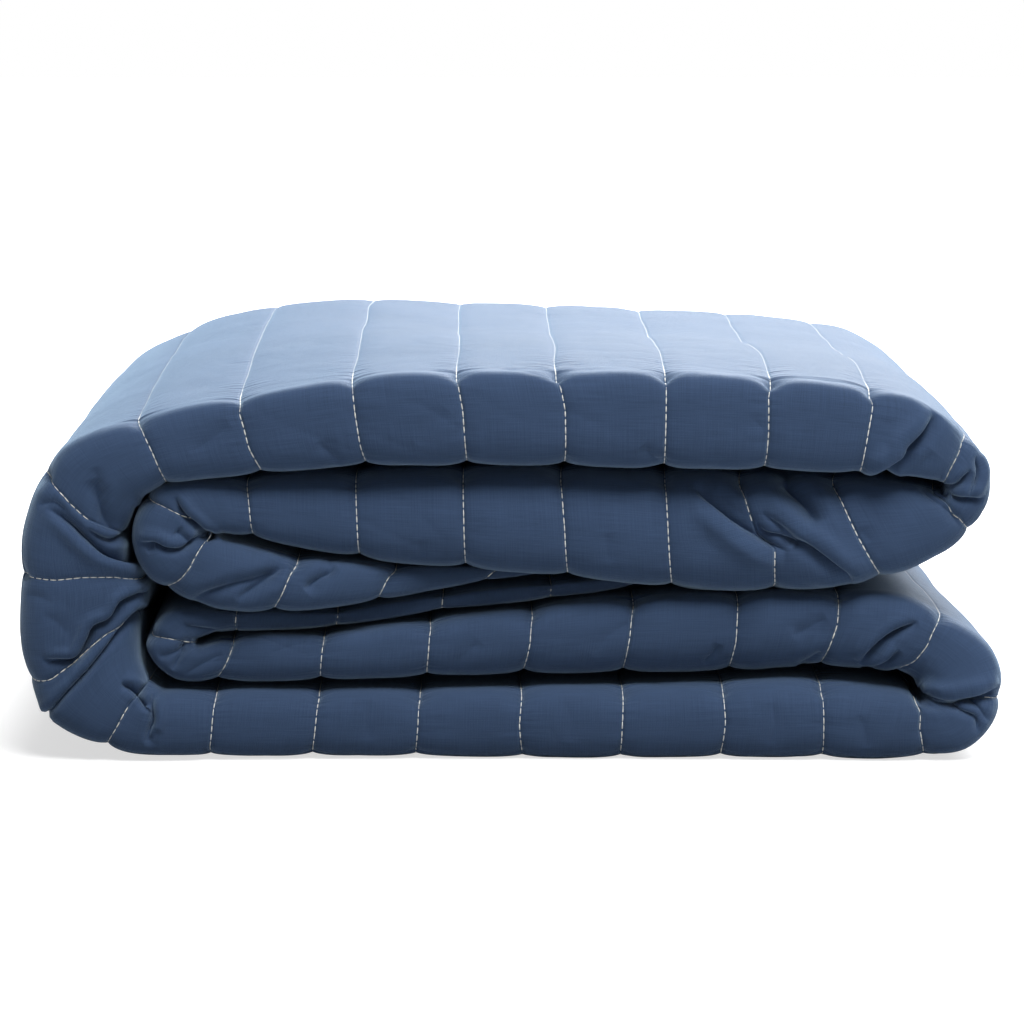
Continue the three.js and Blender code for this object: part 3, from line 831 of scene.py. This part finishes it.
@dataclass
class Cover:
    """The quilted cover, as one padded shell.

    columns is how many stations lie between two rows of quilting. The cloth stands out between the rows by
    flat_fullness, with front_fullness more at the front edge, or by floor_fullness on the floor, and by no
    more than fullness_share of the strip's thickness. upper_notch and lower_notch are how deep the rows cut
    into the front's two long edges, in millimetres.
    """

    strip: Strip
    layers: Layers
    columns: int = 24
    flat_fullness: float = 1.5 * MM
    front_fullness: float = 0.9 * MM
    floor_fullness: float = 1.2 * MM
    fullness_share: float = 0.105
    upper_notch: float = 3.0
    lower_notch: float = 0.8
    places: np.ndarray = field(init=False)
    lengths: np.ndarray = field(init=False)
    around: np.ndarray = field(init=False)
    behind: np.ndarray = field(init=False)
    heights: np.ndarray = field(init=False)
    room: np.ndarray = field(init=False)
    outward: np.ndarray = field(init=False)
    rise: np.ndarray = field(init=False)
    row_stations: np.ndarray = field(init=False)

    def stations(self) -> tuple[np.ndarray, np.ndarray, np.ndarray]:
        """Space the stations closer towards each row of quilting.

        Returns:
            Each station's length, how near it is to a row (0 mid-panel to 1), and the rows' stations.
        """
        ends = np.concatenate(([0.0], self.strip.quilting_rows(), [self.strip.length[-1]]))
        even = np.arange(self.columns) / self.columns
        share = 0.55 * even + 0.45 * 0.5 * (1 - np.cos(math.pi * even))
        lengths = (ends[:-1, None] + np.diff(ends)[:, None] * share[None, :]).ravel()
        near = np.tile(np.abs(2 * share - 1), len(ends) - 1)
        rows = np.arange(1, len(ends) - 1) * self.columns
        return np.append(lengths, ends[-1]), np.append(near, 1.0), rows

    def wander(self, lengths: np.ndarray, behind: np.ndarray, height: np.ndarray, rows: np.ndarray
               ) -> np.ndarray:
        """Give how far each point slides along the strip, so that the rows of quilting stray.

        Args:
            lengths: each station's length.
            behind: distance behind the front, a row for each station.
            height: height share in the section, a row for each station.
            rows: the stations of the rows of quilting.

        Returns:
            The slide at each point.
        """
        strays = np.zeros((len(rows) + 2, behind.shape[1]))
        for wander in WANDERS:
            share, stray = np.array(wander.strays).T
            station = rows[wander.row]
            fade = np.where(height[station] < 0, np.exp(-(behind[station] / 0.12) ** 2), 1.0)
            strays[wander.row + 1] = np.interp(0.5 - height[station], share, stray) * MM * fade
        ends = np.concatenate(([lengths[0]], lengths[rows], [lengths[-1]]))
        left = np.clip(np.searchsorted(ends, lengths, side="right") - 1, 0, len(ends) - 2)
        way = ((lengths - ends[left]) / (ends[left + 1] - ends[left]))[:, None]
        across = np.where(height < 0, -behind, behind) + 0.05 * height
        along = np.broadcast_to(lengths[:, None], across.shape)
        loose = 1.0 * MM * cloth_noise(along, across, (0.05, 0.07), 11)
        return strays[left] * (1 - way) + strays[left + 1] * way + loose

    def shape(self) -> None:
        """Work out the shell's points, a row for each station and a column for each step round it."""
        lengths, near, rows = self.stations()
        section = self.strip.at(lengths)
        thick = np.linalg.norm(section[:, 0:2] - section[:, 2:4], axis=1)
        behind, height = self.layers.outline(thick, section[:, 7] * thick, section[:, 5:7])
        section = self.strip.at(lengths[:, None] + self.wander(lengths, behind, height, rows))
        face, back, setback = section[..., 0:2], section[..., 2:4], section[..., 4]
        flat = back + (face - back) * (height + 0.5)[..., None]
        places = np.stack((flat[..., 0], setback + behind, flat[..., 1]), axis=2)
        places[..., 2] += self.crown(places, behind)
        places[..., 0] -= self.draw_in(places, behind)
        self.lengths, self.row_stations, self.heights = lengths, rows, height
        run = np.linalg.norm(np.diff(places, axis=1, append=places[:, :1]), axis=2)
        self.around = np.cumsum(run, axis=1) - run
        normals, stretch = self.normals(places)
        self.rise = normals
        room = np.clip(stretch / 0.55, 0, 1)
        places = places - normals * (self.sink(near, thick, behind, places) * room)[..., None]
        places = places + normals * (self.unevenness() * room)[..., None]
        places[..., 2] = np.maximum(places[..., 2], 0)
        places[..., :2] -= (places[..., :2].min((0, 1)) + places[..., :2].max((0, 1))) / 2
        self.places, self.behind, self.room = places, behind, np.clip(stretch / 0.3, 0, 1)
        self.outward = self.normals(places)[0]

    def sink(self, near: np.ndarray, thick: np.ndarray, behind: np.ndarray, places: np.ndarray
             ) -> np.ndarray:
        """Give how far each point lies below the cover's full form: deepest along the rows of quilting.

        Args:
            near: how near each station is to a row.
            thick: the strip's thickness at each station.
            behind: distance behind the front.
            places: the points of the full form.

        Returns:
            The depth at each point.
        """
        along = np.broadcast_to(self.lengths[:, None], behind.shape)
        front = np.exp(-(behind / 0.034) ** 2)
        fullness = self.flat_fullness + self.front_fullness * front
        fullness = np.where(places[..., 2] < 1.5 * MM, self.floor_fullness, fullness)
        fullness = np.minimum(fullness, self.fullness_share * thick[:, None])
        uneven = 1 + 0.22 * cloth_noise(along, self.around, (0.055, 0.07), 3)
        filled = ((1 - near ** 3.6) ** 0.7)[:, None]
        return fullness * (1 - filled * uneven) + self.notch(thick, places)

    def notch(self, thick: np.ndarray, places: np.ndarray) -> np.ndarray:
        """Give how far the rows of quilting cut into the front's two long edges, the upper one more.

        Args:
            thick: the strip's thickness at each station.
            places: the points of the full form.

        Returns:
            The depth at each point.
        """
        nose = self.layers.parts["nose"]
        first, last = self.around[:, nose.start, None], self.around[:, nose.stop - 1, None]
        face_up = (places[:, nose.stop - 1, 2] > places[:, nose.start, 2])[:, None]
        start = np.exp(-((self.around - (first + 9 * MM)) / (8 * MM)) ** 2)
        end = np.exp(-((self.around - (last - 9 * MM)) / (8 * MM)) ** 2)
        upper = np.where(face_up, end, start)
        lower = np.where(face_up, start, end)
        rows = self.lengths[self.row_stations]
        nearest = np.abs(self.lengths[:, None] - rows[None, :]).argmin(axis=1)
        deep = np.array([DEEP_NOTCHES.get(int(row), 1.0) for row in nearest])
        cut = self.upper_notch * upper + self.lower_notch * lower
        depth = (np.minimum(1.0, thick / (44 * MM)) * deep)[:, None] * cut * MM
        return depth * np.exp(-self.row_reach()[:, None] / (5.5 * MM))

    def gathers(self) -> np.ndarray:
        """Work out how much the cloth is gathered: along the rows, most where they cross the crest.

        Returns:
            The gathering at each point, from 0 to 1.
        """
        near = np.exp(-(self.row_reach()[:, None] / (11 * MM)) ** 2)
        nose = self.layers.parts["nose"]
        face_up = self.places[:, nose.stop - 1, 2] > self.places[:, nose.start, 2]
        columns = np.arange(self.behind.shape[1])[None, :]
        reverse = (columns > nose.start - 30) & (columns < nose.start)
        side = np.where(face_up[:, None], columns < nose.start - 60, reverse)
        crest = side * np.exp(-((self.behind - 0.02) / 0.045) ** 2)
        return near * (0.22 + 0.78 * crest)

    def row_reach(self) -> np.ndarray:
        """Give each station's distance from the nearest row of quilting."""
        return np.abs(self.lengths[:, None] - self.lengths[self.row_stations][None, :]).min(axis=1)

    def unevenness(self) -> np.ndarray:
        """Work out the cloth's own unevenness: low waves and fine creases.

        Returns:
            The height outwards at each point.
        """
        along = np.broadcast_to(self.lengths[:, None], self.around.shape)
        around = self.around
        waves = 0.7 * cloth_noise(along, around, (0.05, 0.06), 21)
        waves = waves + 0.3 * cloth_noise(along, around, (0.02, 0.03), 22)
        lines = np.zeros_like(around)
        for number, (turn, weight) in enumerate(((0.5, 1.0), (-0.6, 0.9), (1.25, 0.7))):
            ahead = along * math.cos(turn) + around * math.sin(turn)
            aside = around * math.cos(turn) - along * math.sin(turn)
            ridge = 1 - np.abs(cloth_noise(ahead, aside, (0.045, 0.016), 31 + number))
            patchy = np.clip(cloth_noise(ahead, aside, (0.06, 0.05), 41 + number), 0, 1)
            lines -= weight * ridge ** 4 * patchy
        return (waves + 0.6 * lines) * MM

    def creased(self, places: np.ndarray, rises: np.ndarray, lengths: np.ndarray, behind: np.ndarray,
                room: np.ndarray) -> np.ndarray:
        """Press every crease into some points of the cloth.

        Args:
            places: the points, before any crease.
            rises: the outward direction of the cover's full form at each.
            lengths: each point's length along the strip.
            behind: each point's distance behind the front.
            room: how freely each can move, from 0 at a hub to 1.

        Returns:
            The points' new places.
        """
        moved = places.copy()
        for crease in CREASES:
            pick = crease.reached(places, lengths, behind, self.strip.span(crease.fold))
            moved[pick] += crease.press(places[pick], rises[pick], behind[pick]) * room[pick, None]
        moved[:, 2] = np.maximum(moved[:, 2], 0)
        return moved

    def crown(self, places: np.ndarray, behind: np.ndarray) -> np.ndarray:
        """Lift the top of the stack in two low humps, one behind the other, higher at the back's left.

        Args:
            places: the shell's points.
            behind: distance behind the front.

        Returns:
            The height to add at each point.
        """
        share = np.clip((places[..., 2] - 150 * MM) / (40 * MM), 0, 1)
        share = share * share * (3 - 2 * share)
        at = behind / self.layers.depth
        humps = np.interp(at, *zip(*CROWN_HUMPS))
        lean = np.interp(places[..., 0] / MM, *zip(*CROWN_LEAN))
        back = np.clip((at - 0.12) / 0.45, 0, 1)
        return share * (humps + lean * back * back * (3 - 2 * back)) * MM

    def draw_in(self, places: np.ndarray, behind: np.ndarray) -> np.ndarray:
        """Draw the right side of the lower folds in towards the back, where they were laid less squarely.

        Args:
            places: the shell's points.
            behind: distance behind the front.

        Returns:
            How far each point moves to the left.
        """
        side = np.clip((places[..., 0] - 150 * MM) / (90 * MM), 0, 1)
        low = np.clip((99 * MM - places[..., 2]) / (14 * MM), 0, 1)
        back = np.clip((behind - 10 * MM) / (260 * MM), 0, 1)
        return 7 * MM * side * low * back * back * (3 - 2 * back)

    def normals(self, places: np.ndarray) -> tuple[np.ndarray, np.ndarray]:
        """Find the outward direction at each point, and how much of the strip's length its side keeps.

        Args:
            places: the shell's points.

        Returns:
            The outward unit vectors, and the share of the length (1 on a rim, near 0 at a hub).
        """
        lengthways = np.gradient(places, axis=0)
        around = np.roll(places, -1, axis=1) - np.roll(places, 1, axis=1)
        normal = np.cross(around, lengthways)
        normal /= np.maximum(np.linalg.norm(normal, axis=2, keepdims=True), 1e-12)
        run = np.linalg.norm(lengthways, axis=2)
        return normal, run / np.maximum(run.max(axis=1, keepdims=True), 1e-9)

    def build(self) -> bpy.types.Object:
        """Make the shell: a grid is bent to its points, joined along its edge and closed at its ends.

        Returns:
            The shell's object.
        """
        stations, steps = self.places.shape[:2]
        bm = bmesh.new()
        bm.loops.layers.uv.new("cloth")
        layers = bm.verts.layers.float
        names = ("length", "behind", "row_reach", "gather", "room")
        rise = bm.verts.layers.float_vector.new("rise")
        length, behind, reach, gather, room = (layers.new(name) for name in names)
        bmesh.ops.create_grid(bm, x_segments=stations - 1, y_segments=steps, size=1.0, calc_uvs=True)
        bm.verts.ensure_lookup_table()
        grid: dict[tuple[int, int], bmesh.types.BMVert] = {}
        for vert in bm.verts:
            i = round((vert.co.x + 1) / 2 * (stations - 1))
            j = round((vert.co.y + 1) / 2 * steps)
            grid[i, j] = vert
        row_reach, gathers = self.row_reach(), self.gathers()
        for (i, j), vert in grid.items():
            vert.co = self.places[i, j % steps]
            vert[length] = self.lengths[i]
            vert[behind] = self.behind[i, j % steps]
            vert[reach] = row_reach[i]
            vert[gather] = gathers[i, j % steps]
            vert[room] = self.room[i, j % steps]
            vert[rise] = self.rise[i, j % steps]
        bmesh.ops.weld_verts(bm, targetmap={grid[i, steps]: grid[i, 0] for i in range(stations)})
        bmesh.ops.holes_fill(bm, edges=[e for e in bm.edges if e.is_boundary], sides=0)
        bmesh.ops.recalc_face_normals(bm, faces=bm.faces)
        self.press_creases(bm)
        mesh = bpy.data.meshes.new("quilted_cover")
        bm.to_mesh(mesh)
        bm.free()
        self.lay_weave(mesh)
        mesh.polygons.foreach_set("use_smooth", np.ones(len(mesh.polygons), bool))
        made = bpy.data.objects.new("quilted_cover", mesh)
        bpy.context.collection.objects.link(made)
        return made

    def press_creases(self, bm: bmesh.types.BMesh) -> None:
        """Cut the mesh finer round the creases, and press them in.

        Args:
            bm: the shell's mesh.
        """
        close = np.zeros(self.places.shape[:2], bool)
        lengths = np.broadcast_to(self.lengths[:, None], close.shape).ravel()
        flat = self.places.reshape(-1, 3)
        for crease in CREASES:
            pick = crease.reached(flat, lengths, self.behind.ravel(), self.strip.span(crease.fold))
            apart, along, _ = crease.measure(flat[pick][:, 0::2])
            pick = pick[(np.abs(apart) < 3.0) & (self.behind.ravel()[pick] < 1.1 * crease.reach * MM)]
            close.ravel()[pick] = True
        marked = {tuple(np.float32(self.places[i, j])) for i, j in zip(*np.nonzero(close))}
        bm.verts.ensure_lookup_table()
        fine = {vert for vert in bm.verts if tuple(np.float32(vert.co)) in marked}
        edges = [edge for edge in bm.edges if edge.verts[0] in fine and edge.verts[1] in fine]
        bmesh.ops.subdivide_edges(bm, edges=edges, cuts=2, use_grid_fill=True)
        bm.normal_update()
        layers = bm.verts.layers.float
        places = np.array([vert.co for vert in bm.verts])
        rise = bm.verts.layers.float_vector["rise"]
        rises = np.array([vert[rise] for vert in bm.verts])
        rises /= np.maximum(np.linalg.norm(rises, axis=1, keepdims=True), 1e-6)
        named = [layers[name] for name in ("length", "behind", "room")]
        length, behind, room = np.array([[vert[layer] for layer in named] for vert in bm.verts]).T
        moved = self.creased(places, rises, length, behind, room)
        changed = np.nonzero(np.abs(moved - places).max(axis=1) > 1e-7)[0]
        bm.verts.ensure_lookup_table()
        for i in changed:
            bm.verts[int(i)].co = moved[i]
        bm.verts.layers.float_vector.remove(rise)
        for name in ("length", "behind", "room"):
            bm.verts.layers.float.remove(bm.verts.layers.float[name])

    def lay_weave(self, mesh: bpy.types.Mesh) -> None:
        """Scale the grid's UV map to metres of cloth, along the strip and round its section.

        Args:
            mesh: the shell's finished mesh.
        """
        stations, steps = self.places.shape[:2]
        layer = mesh.uv_layers["cloth"]
        values = np.zeros(len(layer.uv) * 2)
        layer.uv.foreach_get("vector", values)
        values = values.reshape(-1, 2)
        mean = np.append(self.around.mean(axis=0), self.around.mean(axis=0)[-1] + 2 * MM)
        values[:, 0] = np.interp(values[:, 0] * (stations - 1), np.arange(stations), self.lengths)
        values[:, 1] = np.interp(values[:, 1] * steps, np.arange(steps + 1), mean)
        layer.uv.foreach_set("vector", values.ravel())


@dataclass
class Stitching:
    """The running stitches along the rows of quilting, as short threads that lie on the shell.

    pitch is from one stitch to the next, stitch the length that shows and thread its thickness. sunk is
    how far the thread is drawn into the flat sides.
    """

    cover: Cover
    pitch: float = 4.1 * MM
    stitch: float = 3.3 * MM
    thread: float = 0.72 * MM
    sunk: float = 0.25 * MM

    def one_stitch(self) -> bpy.types.Mesh:
        """Make a round-ended stitch of unit half-length along X and unit radius.

        Returns:
            The stitch's mesh.
        """
        bm = bmesh.new()
        upright = Matrix.Rotation(math.pi / 2, 4, "Y")
        bmesh.ops.create_uvsphere(bm, u_segments=5, v_segments=4, radius=1.0, matrix=upright)
        mesh = bpy.data.meshes.new("stitch")
        bm.to_mesh(mesh)
        bm.free()
        return mesh

    def build(self) -> bpy.types.Object:
        """Make one mesh of all the stitches, each a copy of one.

        Returns:
            The stitches' object.
        """
        frames = [
            self.sew(line, normals, number)
            for number, station in enumerate(self.cover.row_stations)
            for line, normals in self.lines(station, number)
        ]
        centres, axes = (np.concatenate(part) for part in zip(*frames))
        log.info("stitches: %d", len(centres))
        stitch = self.one_stitch()
        points = np.array([vert.co for vert in stitch.vertices])
        faces = [tuple(face.vertices) for face in stitch.polygons]
        placed = (centres[:, None, :] + np.einsum("vk,skc->svc", points, axes)).reshape(-1, 3)
        shifts = np.arange(len(centres)) * len(points)
        mesh = bpy.data.meshes.new("running_stitches")
        copied = [tuple(i + shift for i in face) for shift in shifts.tolist() for face in faces]
        mesh.from_pydata(placed.tolist(), [], copied)
        mesh.polygons.foreach_set("use_smooth", np.ones(len(mesh.polygons), bool))
        made = bpy.data.objects.new("running_stitches", mesh)
        bpy.context.collection.objects.link(made)
        return made

    def lines(self, station: int, number: int) -> list[tuple[np.ndarray, np.ndarray]]:
        """Find the stretches of a row where stitches can be seen.

        Args:
            station: the row's station on the cover.
            number: the row's number.

        Returns:
            The points and outward directions of each stretch.
        """
        cover = self.cover
        parts = cover.layers.parts
        front = np.arange(parts["nose"].start - 12, parts["nose"].stop)
        face = np.arange(0, parts["face edge"].stop)
        near = face[cover.behind[station][face] < 0.075]
        far = face[cover.behind[station][face] > cover.layers.depth - 0.06]
        tucked = [wander.tucked for wander in WANDERS if wander.row == number and wander.tucked[1] > 0]
        orders = [np.concatenate((front, near)), far]
        if number in ROWS_IN_VIEW:
            orders = [np.concatenate((front, face))]
        if tucked:
            share = 0.5 - cover.heights[station, parts["nose"]]
            start = parts["nose"].start
            cuts = [start + int(np.argmin(np.abs(share - cut))) for cut in tucked[0][::-1]]
            above = np.arange(cuts[1], parts["nose"].stop)
            orders = [np.arange(start - 12, cuts[0]), np.concatenate((above, face))]
        found = []
        for order in orders:
            parts_read = (cover.places, cover.outward, cover.rise, cover.behind, cover.room)
            table = np.column_stack([part[station][order] for part in parts_read])
            quarters = np.arange(0, len(order) - 0.9, 0.25)
            columns = [np.interp(quarters, np.arange(len(order)), column) for column in table.T]
            points, normals, rises = (np.stack(columns[i:i + 3], axis=1) for i in (0, 3, 6))
            behind, room = columns[9:]
            lengths = np.full(len(points), cover.lengths[station])
            pressed = cover.creased(points, rises, lengths, behind, room)
            sunk = self.sunk * np.clip((behind - 15 * MM) / (30 * MM), 0, 1)
            found.append((pressed - normals * sunk[:, None], normals))
        return found

    def sew(self, line: np.ndarray, normals: np.ndarray, number: int) -> tuple[np.ndarray, np.ndarray]:
        """Lay stitches end to end along a line on the shell.

        Args:
            line: points of the row, in order.
            normals: the outward direction at each point.
            number: the row's number, which seeds its small unevenness.

        Returns:
            The stitches' middles, and for each its three half-axes: along, sideways and outwards.
        """
        run = np.concatenate(([0.0], np.cumsum(np.linalg.norm(np.diff(line, axis=0), axis=1))))
        draw = np.random.default_rng(100 + number)
        middles = np.arange(self.pitch, run[-1] - self.pitch, self.pitch)
        middles = middles + draw.normal(0, 0.22 * MM, len(middles))
        half = self.stitch / 2 * draw.uniform(0.9, 1.08, len(middles))

        def at(where: np.ndarray, values: np.ndarray) -> np.ndarray:
            """Read the line's values at some distances along it."""
            return np.stack([np.interp(where, run, column) for column in values.T], axis=1)

        first, last = at(middles - half, line), at(middles + half, line)
        way = last - first
        length = np.linalg.norm(way, axis=1, keepdims=True)
        way = way / length
        side = np.cross(way, at(middles, normals))
        side /= np.linalg.norm(side, axis=1, keepdims=True)
        out = np.cross(side, way)
        radius = self.thread / 2
        axes = np.stack((way * (length / 2 + 0.2 * MM), side * radius, out * radius * 0.75), axis=1)
        return (first + last) / 2 + out * 0.25 * radius, axes


@dataclass
class Studio:
    """A plain pale floor, soft lamps and the camera.

    front is the y of the stack's front, and distance how far before it the camera stands. eye is the
    camera's height, aside its x, and aim the height that it looks at, where it sees view_width from side
    to side. near_glow and far_glow are the floor's brightness round the stack and away from it, and
    room_light is the strength of the room's own light.
    """

    front: float
    distance: float = 2.45
    eye: float = 0.413
    aim: float = 0.128
    aside: float = -0.015
    sensor: float = 36.0
    view_width: float = 0.512
    near_glow: float = 0.66
    far_glow: float = 0.97
    room_light: float = 0.10

    def camera(self) -> None:
        """Stand the camera in front of the stack, a little above it."""
        data = bpy.data.cameras.new("camera")
        made = bpy.data.objects.new("camera", data)
        bpy.context.collection.objects.link(made)
        made.location = (self.aside, self.front - self.distance, self.eye)
        look = Vector((0.001, self.front, self.aim)) - made.location
        made.rotation_euler = look.to_track_quat("-Z", "Y").to_euler()
        data.sensor_width = self.sensor
        data.lens = self.sensor * look.length / self.view_width
        data.clip_end = 50.0
        bpy.context.scene.camera = made

    def floor(self) -> bpy.types.Object:
        """Lay a pale floor that looks brighter away from the stack.

        Returns:
            The floor's object.
        """
        bm = bmesh.new()
        bmesh.ops.create_grid(bm, x_segments=1, y_segments=1, size=12.0)
        mesh = bpy.data.meshes.new("floor")
        bm.to_mesh(mesh)
        bm.free()
        made = bpy.data.objects.new("floor", mesh)
        bpy.context.collection.objects.link(made)
        material = bpy.data.materials.new("pale_floor")
        material.use_nodes = True
        tree = material.node_tree
        shader = tree.nodes["Principled BSDF"]
        shader.inputs["Base Color"].default_value = (0.45, 0.45, 0.45, 1.0)
        shader.inputs["Roughness"].default_value = 0.9
        path = tree.nodes.new("ShaderNodeLightPath")
        place = tree.nodes.new("ShaderNodeTexCoord")
        away = tree.nodes.new("ShaderNodeVectorMath")
        away.operation = "LENGTH"
        tree.links.new(place.outputs["Object"], away.inputs[0])
        glow = tree.nodes.new("ShaderNodeMapRange")
        glow.inputs["From Min"].default_value = 0.45
        glow.inputs["From Max"].default_value = 1.5
        glow.inputs["To Min"].default_value = self.near_glow
        glow.inputs["To Max"].default_value = self.far_glow
        tree.links.new(away.outputs["Value"], glow.inputs["Value"])
        level = tree.nodes.new("ShaderNodeMath")
        level.operation = "MULTIPLY"
        shader.inputs["Emission Color"].default_value = (1.0, 1.0, 1.0, 1.0)
        tree.links.new(path.outputs["Is Camera Ray"], level.inputs[0])
        tree.links.new(glow.outputs["Result"], level.inputs[1])
        tree.links.new(level.outputs["Value"], shader.inputs["Emission Strength"])
        mesh.materials.append(material)
        return made

    def lamp(self, name: str, place: tuple[float, float, float], size: float, power: float) -> None:
        """Hang a square soft lamp that faces the stack.

        Args:
            name: the lamp's name.
            place: where it hangs.
            size: the length of its side.
            power: in watts.
        """
        data = bpy.data.lights.new(name, "AREA")
        data.shape = "SQUARE"
        data.size = size
        data.energy = power
        made = bpy.data.objects.new(name, data)
        bpy.context.collection.objects.link(made)
        made.location = place
        made.rotation_euler = (Vector((0, 0, 0.1)) - made.location).to_track_quat("-Z", "Y").to_euler()

    def world(self) -> None:
        """Give the room a plain white light, and a white background."""
        world = bpy.data.worlds.new("studio")
        bpy.context.scene.world = world
        world.use_nodes = True
        tree = world.node_tree
        shade = tree.nodes["Background"]
        shade.inputs["Color"].default_value = (1, 1, 1, 1)
        path = tree.nodes.new("ShaderNodeLightPath")
        level = tree.nodes.new("ShaderNodeMapRange")
        level.inputs["To Min"].default_value = self.room_light
        level.inputs["To Max"].default_value = 1.0
        tree.links.new(path.outputs["Is Camera Ray"], level.inputs["Value"])
        tree.links.new(level.outputs["Result"], shade.inputs["Strength"])

    def build(self) -> bpy.types.Object:
        """Set up the whole studio.

        Returns:
            The floor's object.
        """
        self.camera()
        self.world()
        self.lamp("top_back", (0.8, 2.3, 1.7), 2.2, 300.0)
        self.lamp("overhead", (0.2, -0.3, 2.4), 1.6, 18.0)
        self.lamp("front_soft", (0.6, -1.75, 2.9), 1.4, 98.0)
        bpy.context.scene.view_settings.view_transform = "Standard"
        return self.floor()


def main() -> None:
    """Build the studio, the cover and its stitches, in that order, and report each piece."""
    logging.basicConfig(level=logging.INFO, format="%(message)s")
    low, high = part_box(NODE)
    studio = Studio(front=float(low[1]))
    studio.build()
    cover = Cover(Strip(), Layers())
    cover.shape()
    shell = cover.build()
    shell.data.materials.append(Cotton().material())
    log.info("cover: %d faces", len(shell.data.polygons))
    stitches = Stitching(cover).build()
    stitches.data.materials.append(Thread().material())
    log.info("stitches: %d faces", len(stitches.data.polygons))
    for piece in (shell, stitches):
        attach(piece, "root")
    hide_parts(NODE)


if __name__ == "__main__":
    main()
